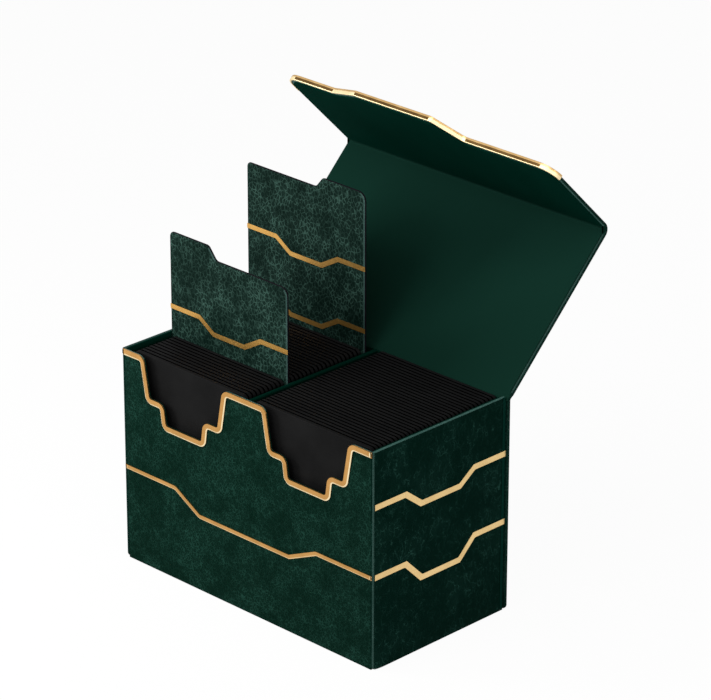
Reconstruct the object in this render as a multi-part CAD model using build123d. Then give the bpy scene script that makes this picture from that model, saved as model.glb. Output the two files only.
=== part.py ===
from build123d import *

import math
import os

# A two-row box for sleeved playing cards: a leather-wrapped case with a creased lid, a
# magnetic front flap, two lift-out dividers and its cards. Sizes are in millimetres.
# X runs from left to right, Y from front to back and Z up from the table. The origin is
# the middle of the base. The lid stands open and the dividers are drawn up.

# Sleeved cards, around which the case is made
sleeve_width = 66.5
sleeve_height = 92.2
sleeve_thick = 1.5
sleeve_pitch = 1.72
sleeve_corner = 3.0
left_front_cards = 13
left_rear_cards = 25
right_deck_cards = 14
right_decks = 3
sleeve_side_gap = 1.9  # on each side of a card in its row
front_card_gap = 1.0
rear_card_gap = 0.58
rim_above_cards = 0.8

# Case
front_thick = 1.6
side_thick = 1.4
back_thick = 1.6
base_thick = 2.2
floor_thick = 1.2
lining_thick = 0.6
cover_overhang = 0.9  # back, lid and flap stand out past each side wall
turned_edge = 1.0  # leather left showing around the linings of lid and flap
upright_rounding = 0.8
base_corner = 2.0
partition_thick = 1.9
partition_drop = 1.4  # below the rim
partition_rounding = 0.8

# Thumb notches in the front, one for each row of cards
notch_depth = 17.9
notch_rim_width = 47.4
notch_shoulder_width = 41.0
thumb_depth = 27.2
thumb_shoulder_width = 24.0
thumb_floor_width = 21.4
bend_radius = 2.5  # along the middle of the gold trim

# Gold trim and lines
trim_width = 2.5
trim_stand = 0.55
line_width = 1.8
line_stand = 0.4
foil_width = 2.5
foil_thick = 0.12
foil_rounding = 1.6
trim_end_gap = 0.8  # from the ends of the front trim to the side faces

# Each line is level at three drops below the rim, with a slant between its bends.
front_line_drops = (53.8, 62.0, 55.1)
front_line_bends = (-42.0, -27.5, 25.5, 41.0)  # from the middle
upper_line_drops = (24.1, 30.9, 25.2)
upper_line_bends = (18.3, 27.1, 49.5, 57.8)  # from the front
lower_line_drops = (55.0, 64.0, 55.8)
lower_line_bends = (18.4, 27.4, 49.5, 58.2)  # from the front

# Lid and flap
lid_thick = 1.6
lid_lean = 45.0  # of the open lid, back from upright
lid_clearance = 0.4  # closed, from the lining down to the rim
crease_width = 3.2  # soft strip between the back crease and the lid crease
closed_crease_lean = 3.0  # of the soft strip when closed, forward from upright
flap_clearance = 1.1  # closed, from the lining to the front face
fold_radius = 4.0  # outside of the soft fold between lid and flap
fold_gap = 0.2
flap_left_length = 56.5
flap_middle_length = 62.0
flap_right_length = 51.0
flap_bends = (-45.0, -29.0, 14.5, 26.0)
flap_corner = 8.0
flap_bend_radius = 3.0
flap_lining_setback = 2.2  # of the flap's lining, in from its stepped edge
channel_depth = 2.6  # of the gold channel, in from the edge of the flap
channel_lip = 0.5  # of the gold over the flap's inner face
channel_wall = 0.4
channel_start = 44.0  # from the lid's corner to the ends of the channel

# Magnets in the flap and steel keepers in the front
magnet_radius = 5.0
magnet_thick = 1.0
keeper_thick = 0.8
pocket_gap = 0.1
magnet_inset = 29.0  # from the sides of the flap
magnet_drop = 42.0  # below the closed lid's top face

# Dividers of the left row
divider_thick = 1.0
divider_slot_gap = 0.4  # between a divider and the cards beside it
divider_side_gap = 0.2
divider_floor_gap = 0.3
divider_drop = 1.4  # of a pushed-down tab, below the rim
divider_corner = 4.0
divider_foot_corner = 2.0
divider_bend_radius = 1.0
front_divider_lift = 47.0
front_tab_width = 23.4
front_tab_height = 5.6
front_tab_slant = 4.6
rear_divider_lift = 70.4
rear_tab_width = 24.9
rear_tab_height = 4.8
rear_tab_slant = 4.0
divider_foil_width = 2.1
divider_line_dip = 5.4
divider_line_bends = (17.5, 26.0, 44.5, 54.0)  # from the divider's left edge
divider_line_drops = (33.6, 61.3)  # below the top of the tab

# Worked out from the sizes above
row_width = sleeve_width + sleeve_side_gap * 2
row_half = partition_thick / 2 + row_width
row_centre = (partition_thick + row_width) / 2
board_half = row_half + lining_thick
half_width = board_half + side_thick
cover_half = half_width + cover_overhang
row_cards = right_decks * right_deck_cards
row_depth = front_card_gap + (row_cards - 1) * sleeve_pitch + sleeve_thick + rear_card_gap
box_depth = front_thick + lining_thick + row_depth + lining_thick + back_thick
front = -box_depth / 2
back = box_depth / 2
front_board_back = front + front_thick
back_board_front = back - back_thick
row_front = front_board_back + lining_thick
row_back = back_board_front - lining_thick
floor_top = base_thick + floor_thick
rim_height = floor_top + sleeve_height + rim_above_cards
lid_wall = lid_thick + lining_thick

# The lid crease, the lid and the flap follow from where they lie when the box is closed.
closed_lean = math.radians(closed_crease_lean)
open_lean = math.radians(lid_lean)
back_crease_y = (back + row_back) / 2
closed_lid_middle = rim_height + lid_clearance + lid_wall / 2
closed_lid_crease_y = back_crease_y - crease_width * math.sin(closed_lean)
back_crease_z = closed_lid_middle - crease_width * math.cos(closed_lean)
lid_crease_y = back_crease_y + crease_width * math.sin(open_lean)
lid_crease_z = back_crease_z + crease_width * math.cos(open_lean)
lid_reach = closed_lid_crease_y - front + flap_clearance + lid_wall
closed_lid_top = closed_lid_middle + lid_wall / 2

# Lid frame: X across, Y from the crease to the flap, Z from the outer face inwards.
lid_place = Pos(0, lid_crease_y, lid_crease_z) * Rot(90 - lid_lean, 0, 0)
lid_place = lid_place * Pos(0, 0, -lid_wall / 2)
# Flap frame: Y runs down the flap from the lid's outer corner, Z from the outer face in.
flap_place = lid_place * Pos(0, lid_reach, 0) * Rot(90, 0, 0)


def upright(outline, y, thickness):
    """An outline drawn in X and Z, as a board from y backwards."""
    return Pos(0, y, 0) * extrude(Plane.XZ * outline, amount=-thickness)


def block(x_range, y_range, z_range):
    """A plain block between two limits along each axis."""
    size = [high - low for low, high in (x_range, y_range, z_range)]
    low = Align.MIN
    return Pos(x_range[0], y_range[0], z_range[0]) * Box(*size, align=(low, low, low))


def polygon(corners):
    """A face with the given corners, each its two coordinates and a bend radius."""
    points = [corner[:2] for corner in corners]
    radii = [corner[2] for corner in corners]
    return make_face(FilletPolyline(*points, radius=radii, close=True))


def stripe(points, width, rounding):
    """A band along a line, with sharp outer corners and rounded inner ones."""
    path = [Vector(*point) for point in points]
    runs = [(end - start).normalized() for start, end in zip(path, path[1:])]
    sides = [Vector(-run.Y, run.X) for run in runs]
    mitres = [sides[0]]
    turns = [0]
    for before, after in zip(sides, sides[1:]):
        mitres.append((before + after) / (1 + before.dot(after)))
        turns.append(before.cross(after).Z)
    mitres.append(sides[-1])
    turns.append(0)
    left = []
    right = []
    for point, mitre, turn in zip(path, mitres, turns):
        left_edge = point + mitre * (width / 2)
        right_edge = point - mitre * (width / 2)
        left.append((left_edge.X, left_edge.Y, rounding if turn > 0 else 0))
        right.append((right_edge.X, right_edge.Y, rounding if turn < 0 else 0))
    return polygon(left + right[::-1])


def zigzag(start, bends, end, levels):
    """Points of a line that is level at three places, joined by two slants."""
    first, middle, last = levels
    low = [(bends[1], middle), (bends[2], middle)]
    return [(start, first), (bends[0], first), *low, (bends[3], last), (end, last)]


# Case -------------------------------------------------------------------------------


def front_outline(half, lowest):
    """The front's outline with its two stepped thumb notches."""
    convex = bend_radius + trim_width / 2
    concave = bend_radius - trim_width / 2
    shoulder = rim_height - notch_depth
    thumb_floor = rim_height - thumb_depth
    steps = [
        (notch_rim_width / 2, rim_height, convex),
        (notch_shoulder_width / 2, shoulder, concave),
        (thumb_shoulder_width / 2, shoulder, convex),
        (thumb_floor_width / 2, thumb_floor, concave),
    ]
    corners = [(-half, rim_height, 0)]
    for centre in (-row_centre, row_centre):
        corners += [(centre - x, z, radius) for x, z, radius in steps]
        corners += [(centre + x, z, radius) for x, z, radius in reversed(steps)]
    corners += [(half, rim_height, 0), (half, lowest, 0), (-half, lowest, 0)]
    return polygon(corners)


def disc_places(z):
    """Where the two magnets and their keepers lie across the box, at one height."""
    x = cover_half - magnet_inset
    return [(-x, z), (x, z)]


def discs(radius, places, y, thickness):
    """Upright discs, their axes front to back, from y backwards."""
    made = []
    for x, z in places:
        made.append(upright(Pos(x, z) * Circle(radius), y, thickness))
    return made


def front_panel():
    """The notched front board, with a pocket behind it for each keeper."""
    board = upright(front_outline(board_half, 0), front, front_thick)
    places = disc_places(closed_lid_top - magnet_drop)
    pocket_y = front_board_back - keeper_thick
    for pocket in discs(magnet_radius + pocket_gap, places, pocket_y, keeper_thick):
        board -= pocket
    return board


def front_keepers():
    """Steel discs in the pockets, sealed in by the front lining."""
    places = disc_places(closed_lid_top - magnet_drop)
    return discs(magnet_radius, places, front_board_back - keeper_thick, keeper_thick)


def front_lining():
    """Velour behind the front board, from the tray floor to the rim."""
    return upright(front_outline(board_half, floor_top), front_board_back, lining_thick)


def side_panel(side):
    """A side board with a rounded front edge, relieved at the top for the lid's crease."""
    board = block((board_half, half_width), (front, back_board_front), (0, rim_height))
    edges = board.edges().filter_by(Axis.X).group_by(Axis.Z)[0]
    board = fillet(edges.sort_by(Axis.Y)[0], base_corner)
    outer_edges = board.faces().sort_by(Axis.X)[-1].edges()
    board = fillet(outer_edges.sort_by(Axis.Y)[0], upright_rounding)
    relief_y = (row_back - fold_gap, back_board_front)
    board -= block((board_half, half_width), relief_y, (back_crease_z, rim_height))
    return board if side > 0 else mirror(board, Plane.YZ)


def side_lining(side):
    """Velour on the inner face of a side board."""
    skin = block((row_half, board_half), (row_front, row_back), (floor_top, rim_height))
    return skin if side > 0 else mirror(skin, Plane.YZ)


def back_panel():
    """The back board, wider than the case, with rounded lower corners."""
    x_range = (-cover_half, cover_half)
    board = block(x_range, (back_board_front, back), (0, back_crease_z))
    foot = board.edges().filter_by(Axis.Y).group_by(Axis.Z)[0]
    return fillet(foot, base_corner)


def back_lining():
    """Velour on the back board, between the side boards."""
    x_range = (-board_half, board_half)
    return block(x_range, (row_back, back_board_front), (floor_top, back_crease_z))


def base_panel():
    """The base board, between the walls and level with their feet."""
    x_range = (-board_half, board_half)
    return block(x_range, (front_board_back, back_board_front), (0, base_thick))


def tray_floor():
    """The loose floor that the cards stand on."""
    x_range = (-board_half, board_half)
    z_range = (base_thick, floor_top)
    return block(x_range, (front_board_back, back_board_front), z_range)


def centre_partition():
    """The wall between the two rows, with a round top edge."""
    half = partition_thick / 2
    top = rim_height - partition_drop
    wall = block((-half, half), (row_front, row_back), (floor_top, top))
    top_edges = wall.edges().filter_by(Axis.Y).group_by(Axis.Z)[-1]
    return fillet(top_edges, partition_rounding)


# Gold trim and lines ------------------------------------------------------------------


def front_rim_trim():
    """The raised band that follows the rim and both notches."""
    wide = front_outline(half_width + trim_width * 2, 0)
    band = wide - offset(wide, -trim_width)
    span = half_width - trim_end_gap
    window_foot = rim_height - thumb_depth - trim_width * 2
    window = Pos(0, (window_foot + rim_height) / 2)
    band &= window * Rectangle(span * 2, rim_height - window_foot)
    return upright(band, front - trim_stand, trim_stand)


def front_line():
    """The raised line across the lower front."""
    span = half_width - trim_end_gap
    levels = [rim_height - drop for drop in front_line_drops]
    points = zigzag(-span, front_line_bends, span, levels)
    band = stripe(points, line_width, bend_radius)
    return upright(band, front - line_stand, line_stand)


def side_line(side, drops, bends):
    """A foil line on a side board, from the front edge to the back cover."""
    bends = [front + bend for bend in bends]
    levels = [rim_height - drop for drop in drops]
    points = zigzag(front + upright_rounding, bends, back_board_front, levels)
    band = Plane.YZ * stripe(points, foil_width, foil_rounding)
    foil = Pos(half_width, 0, 0) * extrude(band, amount=foil_thick)
    return foil if side > 0 else mirror(foil, Plane.YZ)


# Lid and flap -------------------------------------------------------------------------


def lid_sheet(margin, z_low, z_high):
    """A layer of the lid, in the lid's own frame."""
    half = cover_half - margin
    length = lid_reach - fold_radius - fold_gap
    return lid_place * block((-half, half), (0, length), (z_low, z_high))


def lid_crease_strip():
    """The soft leather strip that joins the back to the lid."""
    outward = (lid_wall / 2 * math.cos(open_lean), -lid_wall / 2 * math.sin(open_lean))
    outer = (lid_crease_y + outward[0], lid_crease_z + outward[1])
    inner = (lid_crease_y - outward[0], lid_crease_z - outward[1])
    foot = [(back, back_crease_z), (row_back, back_crease_z)]
    section = make_face(Polyline(*foot, inner, outer, close=True))
    return extrude(Plane.YZ * section, amount=cover_half, both=True)


def flap_fold():
    """The soft quarter-round fold that joins the lid to the flap."""
    ring = Circle(fold_radius) - Circle(fold_radius - lid_wall)
    corner = Rectangle(fold_radius, fold_radius, align=(Align.MIN, Align.MAX))
    quarter = ring & corner
    fold = extrude(Plane.YZ * quarter, amount=cover_half, both=True)
    return lid_place * Pos(0, lid_reach - fold_radius, fold_radius) * fold


def flap_outline(start, margin):
    """The flap, from start down to its stepped edge, less an even margin all round."""
    lengths = (flap_left_length, flap_middle_length, flap_right_length)
    edge = zigzag(-cover_half, flap_bends, cover_half, lengths)
    radii = [flap_corner, *[flap_bend_radius] * 4, flap_corner]
    corners = [(-cover_half, -fold_radius, 0)]
    corners += [(x, y, radius) for (x, y), radius in zip(edge, radii)]
    corners.append((cover_half, -fold_radius, 0))
    whole = polygon(corners)
    if margin:
        whole = offset(whole, -margin)
    window = Rectangle(cover_half * 4, flap_middle_length * 2)
    return whole & Pos(0, start + flap_middle_length) * window


def flap_sheet(margin, z_low, z_high):
    """A layer of the flap, in the flap's own frame."""
    outline = flap_outline(fold_radius + fold_gap, margin)
    return Pos(0, 0, z_low) * extrude(outline, amount=z_high - z_low)


def flap_discs(radius):
    """The two magnets, or their pockets, behind the flap's lining."""
    made = []
    for x, y in disc_places(magnet_drop):
        disc = extrude(Pos(x, y) * Circle(radius), amount=magnet_thick)
        made.append(Pos(0, 0, lid_thick - magnet_thick) * disc)
    return made


def flap_panel():
    """The flap's board, with a pocket for each magnet."""
    board = flap_sheet(0, 0, lid_thick)
    for pocket in flap_discs(magnet_radius + pocket_gap):
        board -= pocket
    return flap_place * board


def flap_lining():
    """Velour inside the flap, set back further along the gold edge than at the sides."""
    sheet = flap_sheet(turned_edge, lid_thick, lid_wall)
    return flap_place * (sheet & Pos(0, turned_edge - flap_lining_setback, 0) * sheet)


def flap_edge_trim():
    """The gold channel around the flap's stepped edge, deep outside with a lip inside."""
    outer = flap_outline(channel_start, -channel_wall)
    face = outer - flap_outline(channel_start, channel_depth)
    lip = outer - flap_outline(channel_start, channel_lip)
    channel = Pos(0, 0, -channel_wall) * extrude(face, amount=channel_wall + lid_thick / 2)
    channel += Pos(0, 0, lid_thick / 2) * extrude(lip, amount=lid_thick / 2 + channel_wall)
    return flap_place * (channel - flap_sheet(0, 0, lid_thick))


# Dividers and cards -------------------------------------------------------------------


def divider_outline(tab_width, tab_height, tab_slant):
    """A divider with its tab at the left; X from its left edge, Z from its foot."""
    width = row_width - divider_side_gap * 2
    top = rim_height - divider_drop - floor_top - divider_floor_gap
    shoulder = top - tab_height
    tab_end = tab_width + tab_slant
    corners = [(0, 0, divider_foot_corner), (0, top, divider_corner)]
    corners += [(tab_width, top, divider_bend_radius)]
    corners += [(tab_end, shoulder, divider_bend_radius)]
    corners += [(width, shoulder, divider_corner), (width, 0, divider_foot_corner)]
    return polygon(corners)


def divider(tab, lift, y, tab_at_right):
    """A divider of the left row, drawn up by its lift."""
    outline = divider_outline(*tab)
    width = row_width - divider_side_gap * 2
    if tab_at_right:
        outline = Pos(width, 0) * mirror(outline, Plane.YZ)
    foot = floor_top + divider_floor_gap + lift
    return upright(Pos(divider_left, foot) * outline, y, divider_thick)


def divider_lines(lift, y, drops):
    """Foil lines across the front of a divider."""
    width = row_width - divider_side_gap * 2
    top = rim_height - divider_drop + lift
    lines = []
    for drop in drops:
        high = top - drop
        levels = (high, high - divider_line_dip, high)
        points = zigzag(0, divider_line_bends, width, levels)
        band = Pos(divider_left, 0) * stripe(points, divider_foil_width, foil_rounding)
        lines.append(upright(band, y - foil_thick, foil_thick))
    return lines


def deck(side, first_y, cards):
    """Sleeved cards standing one behind the other, their top corners rounded."""
    half = sleeve_width / 2
    corners = [(-half, 0, 0), (-half, sleeve_height, sleeve_corner)]
    corners += [(half, sleeve_height, sleeve_corner), (half, 0, 0)]
    outline = Pos(side * row_centre, floor_top) * polygon(corners)
    made = []
    for card in range(cards):
        made.append(upright(outline, first_y + card * sleeve_pitch, sleeve_thick))
    return made


def deck_length(cards):
    """From the front of a deck's first sleeve to the back of its last."""
    return (cards - 1) * sleeve_pitch + sleeve_thick


divider_left = -row_half + divider_side_gap
cards_start = row_front + front_card_gap
front_divider_y = cards_start + deck_length(left_front_cards) + divider_slot_gap
left_rear_start = front_divider_y + divider_thick + divider_slot_gap
rear_divider_y = left_rear_start + deck_length(left_rear_cards) + divider_slot_gap
front_tab = (front_tab_width, front_tab_height, front_tab_slant)
rear_tab = (rear_tab_width, rear_tab_height, rear_tab_slant)

pieces = {
    "front_panel": front_panel(),
    "front_lining": front_lining(),
    "front_keepers": front_keepers(),
    "left_side_panel": side_panel(-1),
    "right_side_panel": side_panel(1),
    "left_side_lining": side_lining(-1),
    "right_side_lining": side_lining(1),
    "back_panel": back_panel(),
    "back_lining": back_lining(),
    "base_panel": base_panel(),
    "tray_floor": tray_floor(),
    "centre_partition": centre_partition(),
    "front_rim_trim": front_rim_trim(),
    "front_line": front_line(),
    "left_upper_line": side_line(-1, upper_line_drops, upper_line_bends),
    "left_lower_line": side_line(-1, lower_line_drops, lower_line_bends),
    "right_upper_line": side_line(1, upper_line_drops, upper_line_bends),
    "right_lower_line": side_line(1, lower_line_drops, lower_line_bends),
    "lid_crease_strip": lid_crease_strip(),
    "lid_panel": lid_sheet(0, 0, lid_thick),
    "lid_lining": lid_sheet(turned_edge, lid_thick, lid_wall),
    "flap_fold": flap_fold(),
    "flap_panel": flap_panel(),
    "flap_lining": flap_lining(),
    "flap_magnets": [flap_place * disc for disc in flap_discs(magnet_radius)],
    "flap_edge_trim": flap_edge_trim(),
    "divider_front": divider(front_tab, front_divider_lift, front_divider_y, False),
    "divider_front_line": divider_lines(
        front_divider_lift, front_divider_y, divider_line_drops[:1]
    ),
    "divider_rear": divider(rear_tab, rear_divider_lift, rear_divider_y, True),
    "divider_rear_lines": divider_lines(
        rear_divider_lift, rear_divider_y, divider_line_drops
    ),
    "cards_left_front": deck(-1, cards_start, left_front_cards),
    "cards_left_rear": deck(-1, left_rear_start, left_rear_cards),
}
for number, place in enumerate(("front", "middle", "rear")[:right_decks]):
    deck_start = cards_start + number * right_deck_cards * sleeve_pitch
    pieces["cards_right_" + place] = deck(1, deck_start, right_deck_cards)

os.makedirs("parts", exist_ok=True)
for name, piece in pieces.items():
    shape = Compound(piece) if isinstance(piece, list) else piece
    export_step(shape, f"parts/{name}.step")
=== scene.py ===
"""Looks for a leather-wrapped box of sleeved playing cards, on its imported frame.

X runs from left to right, Y from the notched front to the back and Z up from the table.
Lengths are in millimetres, apart from the places and sizes of the camera, the lamps and the
table, which are in metres. Colours are linear.
"""

import math

import bmesh
import bpy
from mathutils import Matrix, Vector


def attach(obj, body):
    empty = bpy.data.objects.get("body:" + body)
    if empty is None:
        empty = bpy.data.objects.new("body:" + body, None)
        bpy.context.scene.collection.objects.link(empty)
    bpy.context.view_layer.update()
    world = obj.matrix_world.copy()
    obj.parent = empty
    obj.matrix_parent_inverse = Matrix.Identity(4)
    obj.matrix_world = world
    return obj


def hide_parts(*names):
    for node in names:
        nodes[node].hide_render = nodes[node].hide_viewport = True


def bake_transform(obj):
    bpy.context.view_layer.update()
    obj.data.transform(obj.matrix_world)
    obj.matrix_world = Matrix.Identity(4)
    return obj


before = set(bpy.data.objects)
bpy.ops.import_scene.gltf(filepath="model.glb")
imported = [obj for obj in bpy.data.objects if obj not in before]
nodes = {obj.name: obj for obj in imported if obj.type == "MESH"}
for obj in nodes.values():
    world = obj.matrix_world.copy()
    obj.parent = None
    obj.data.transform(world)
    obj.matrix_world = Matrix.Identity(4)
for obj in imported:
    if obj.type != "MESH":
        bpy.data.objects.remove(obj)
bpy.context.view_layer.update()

MM = 0.001

# Two places this close, in mm, count as the same
SLACK = 0.01


# ---------------------------------------------------------------------------------------
# Sizes repeated from the frame, in mm
# ---------------------------------------------------------------------------------------

# Levels along Y, from the front to the back
FRONT = -39.0
CARDS_START = -35.8
ROW_BACK = 36.8
BACK_BOARD = 37.4
BACK = 39.0

# Levels along X, to either side: the middle of a row, the inner and outer face of a side
# board, and half the width of the lid and of its lining
ROW_CENTRE = 36.1
BOARD_HALF = 71.85
HALF = 73.25
COVER_HALF = 74.15
LINING_HALF = 73.15

# Levels along Z
FLOOR = 3.4
CREASE = 94.704
RIM = 96.4

# Board in its leather, the lining on it and both together
BOARD = 1.6
LINING = 0.6
WALL = 2.2

# How far a lining or a gold band is let into what it lies on
BEDDED = 0.02

# The lid's crease, how far the lid leans back at rest, in degrees, and how far it reaches
LID_CREASE_Y = 40.163
LID_CREASE_Z = 96.967
LID_LEAN = 45
LID_REACH = 80.0325

# Outer radius of the soft fold, where it starts on the lid and where it ends on the flap
FOLD = 4.0
FOLD_START = LID_REACH - FOLD - 0.2
FOLD_END = FOLD + 0.2

# Thumb notches in the front and in its lining: distance from the notch's middle, height and
# radius of each corner. What lies above RIM_ZONE belongs to the notches and the rim.
CONVEX = 3.75
CONCAVE = 1.25
NOTCH = ((23.7, RIM, CONVEX), (20.5, 78.5, CONCAVE), (12.0, 78.5, CONVEX), (10.7, 69.2, CONCAVE))
VELOUR_RIM = RIM - 1.5
VELOUR_NOTCH = ((25.2, VELOUR_RIM, 5.2), (21.9, 77.1, 0.6), (13.2, 77.1, 5.2), (11.9, 67.7, 0.6))
RIM_ZONE = 60.0

# Gold band along the rim, and the gold line below it: half its width, how far it stands out,
# where it bends and its three levels
TRIM_WIDTH = 2.5
TRIM_STAND = 0.55
LINE_HALF = 0.9
LINE_STAND = 0.4
LINE_BENDS = (-42.0, -27.5, 25.5, 41.0)
LINE_BEND_RADIUS = 2.5
LINE_LEVELS = (RIM - 53.8, RIM - 62.0, RIM - 55.1)

# Stepped edge of the flap, and where the gold channel on it starts at the sides
FLAP_LENGTHS = (56.5, 62.0, 51.0)
FLAP_BENDS = (-45.0, -29.0, 14.5, 26.0)
FLAP_BEND_RADIUS = 3.0
FLAP_CORNER = 8.0
CHANNEL_START = 44.0

# Pockets of the keepers in the front and of the magnets in the flap
POCKET_X = 45.15
POCKET_RADIUS = 5.1
KEEPER_Z = 57.0
KEEPER_DEPTH = 0.8
MAGNET_REACH = 42.0
MAGNET_DEPTH = 1.0

# Dividers in the left row: a tab is its width, height and slant
DIVIDER_LEFT = -71.05
DIVIDER_WIDTH = 69.9
DIVIDER_HEIGHT = 91.3
DIVIDER_THICK = 1.0
DIVIDER_PLAY = 0.4
FRONT_TAB = (23.4, 5.6, 4.6)
FRONT_LIFT = 47.0
FRONT_DIVIDER_Y = -13.26
REAR_TAB = (24.9, 4.8, 4.0)
REAR_LIFT = 70.4
REAR_DIVIDER_Y = 31.32

# Sleeves, and the depth and spacing of the three decks in the right row
SLEEVE_HALF = 33.25
SLEEVE_HEIGHT = 92.2
SLEEVE_GAP = 0.2
DECK_DEPTH = 23.86
DECK_SPACING = 24.08


# ---------------------------------------------------------------------------------------
# Camera and softboxes
# ---------------------------------------------------------------------------------------

# Azimuth, elevation and roll in degrees, place in metres, and the lens's length in pixels
VIEW_ANGLES = (44.771, 23.565, 0.069)
LENS_PLACE = (1.054558, -1.038415, 0.751321)
FOCAL_PIXELS = 3954.962
PICTURE_PIXELS = 711
SENSOR = 36.0


def set_camera():
    """A long lens at the photograph's angle, fitted to the corners of the case."""
    azimuth, elevation, roll = (math.radians(angle) for angle in VIEW_ANGLES)
    towards_lens = Vector(
        (
            math.sin(azimuth) * math.cos(elevation),
            -math.cos(azimuth) * math.cos(elevation),
            math.sin(elevation),
        )
    )
    right = (-towards_lens).cross(Vector((0, 0, 1))).normalized()
    up = right.cross(-towards_lens)
    level = Matrix((right, up, towards_lens)).transposed().to_4x4()
    camera = bpy.data.objects.new("camera", bpy.data.cameras.new("camera"))
    bpy.context.scene.collection.objects.link(camera)
    camera.data.sensor_width = SENSOR
    camera.data.lens = FOCAL_PIXELS / PICTURE_PIXELS * SENSOR
    turn = Matrix.Rotation(roll, 4, "Z")
    camera.matrix_world = Matrix.Translation(LENS_PLACE) @ level @ turn
    bpy.context.scene.camera = camera


def softbox(name, place, aim, width, power):
    """A square studio softbox that faces a point of the box."""
    lamp = bpy.data.lights.new(name, "AREA")
    lamp.shape = "SQUARE"
    lamp.size = width
    lamp.energy = power
    holder = bpy.data.objects.new(name, lamp)
    bpy.context.scene.collection.objects.link(holder)
    holder.location = place
    holder.rotation_euler = (Vector(aim) - Vector(place)).to_track_quat("-Z", "Y").to_euler()


# ---------------------------------------------------------------------------------------
# Node materials
# ---------------------------------------------------------------------------------------


class Reading:
    """A value on a material's nodes; sums on it add the Math nodes that work them out."""

    def __init__(self, finish, socket):
        self.finish = finish
        self.socket = socket

    def sum(self, operation, *values):
        return self.finish.node("ShaderNodeMath", {"operation": operation}, dict(enumerate(values)))

    def __add__(self, other):
        return self.sum("ADD", self, other)

    def __sub__(self, other):
        return self.sum("SUBTRACT", self, other)

    def __mul__(self, other):
        return self.sum("MULTIPLY", self, other)

    def __rsub__(self, other):
        return self.sum("SUBTRACT", other, self)

    def ramp(self, low, high, start=0.0, end=1.0):
        """A smooth rise from start at low to end at high."""
        return self.finish.node(
            "ShaderNodeMapRange",
            {"interpolation_type": "SMOOTHSTEP"},
            {"Value": self, "From Min": low, "From Max": high, "To Min": start, "To Max": end},
        )


class Finish:
    """A procedural material on the part's own coordinates."""

    def __init__(self, name):
        self.material = bpy.data.materials.new(name)
        self.material.use_nodes = True
        self.tree = self.material.node_tree
        self.tree.nodes.clear()

    def node(self, kind, settings=None, inputs=None, out=0):
        """Adds a node with its settings and its sockets' values or links."""
        made = self.tree.nodes.new(kind)
        for name, value in (settings or {}).items():
            setattr(made, name, value)
        for name, value in (inputs or {}).items():
            if isinstance(value, Reading):
                self.tree.links.new(value.socket, made.inputs[name])
            else:
                made.inputs[name].default_value = value
        return Reading(self, made.outputs[out]) if made.outputs else None

    def place(self):
        """The point of the surface, in metres on the part."""
        return self.node("ShaderNodeTexCoord", out="Object")

    def turned(self, place, turn, stretch):
        """The same point, turned by degrees and stretched for a pattern with a direction."""
        angles = tuple(math.radians(angle) for angle in turn)
        values = {"Vector": place, "Rotation": angles, "Scale": stretch}
        return self.node("ShaderNodeMapping", None, values)

    def along(self, place, axis):
        """How far the point lies along X, Y or Z, in metres."""
        return self.node("ShaderNodeSeparateXYZ", None, {"Vector": place}, out=axis)

    def noise(self, place, size_mm, detail=3.0, rough=0.5, out="Fac"):
        """Soft cloudy noise with features of about that size."""
        values = {"Vector": place, "Scale": 1000.0 / size_mm, "Detail": detail, "Roughness": rough}
        return self.node("ShaderNodeTexNoise", None, values, out=out)

    def cells(self, place, size_mm):
        """Distances to the borders in a field of irregular cells of about that size."""
        values = {"Vector": place, "Scale": 1000.0 / size_mm}
        settings = {"feature": "DISTANCE_TO_EDGE"}
        return self.node("ShaderNodeTexVoronoi", settings, values, out="Distance")

    def shifted(self, place, by, amount_mm):
        """The point moved about by a coloured noise, so that a pattern loses its regularity."""
        centred = self.vector("SUBTRACT", {0: by, 1: (0.5, 0.5, 0.5)})
        scaled = self.vector("SCALE", {0: centred, "Scale": amount_mm * MM})
        return self.vector("ADD", {0: place, 1: scaled})

    def vector(self, operation, inputs):
        return self.node("ShaderNodeVectorMath", {"operation": operation}, inputs)

    def between(self, factor, first, second):
        """A colour between two others."""
        inputs = {0: factor, 6: (*first, 1.0), 7: (*second, 1.0)}
        return self.node("ShaderNodeMix", {"data_type": "RGBA"}, inputs, out=2)

    def bump(self, height, depth_mm, strength):
        """The surface's normal over a height that runs from 0 to 1."""
        inputs = {"Height": height, "Distance": depth_mm * MM, "Strength": strength}
        return self.node("ShaderNodeBump", None, inputs, out="Normal")

    def surface(self, **values):
        """Ends the material in one Principled shader; names use _ for a space."""
        inputs = {name.replace("_", " "): value for name, value in values.items()}
        shader = self.node("ShaderNodeBsdfPrincipled", None, inputs)
        self.node("ShaderNodeOutputMaterial", None, {"Surface": shader})
        return self.material


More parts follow.
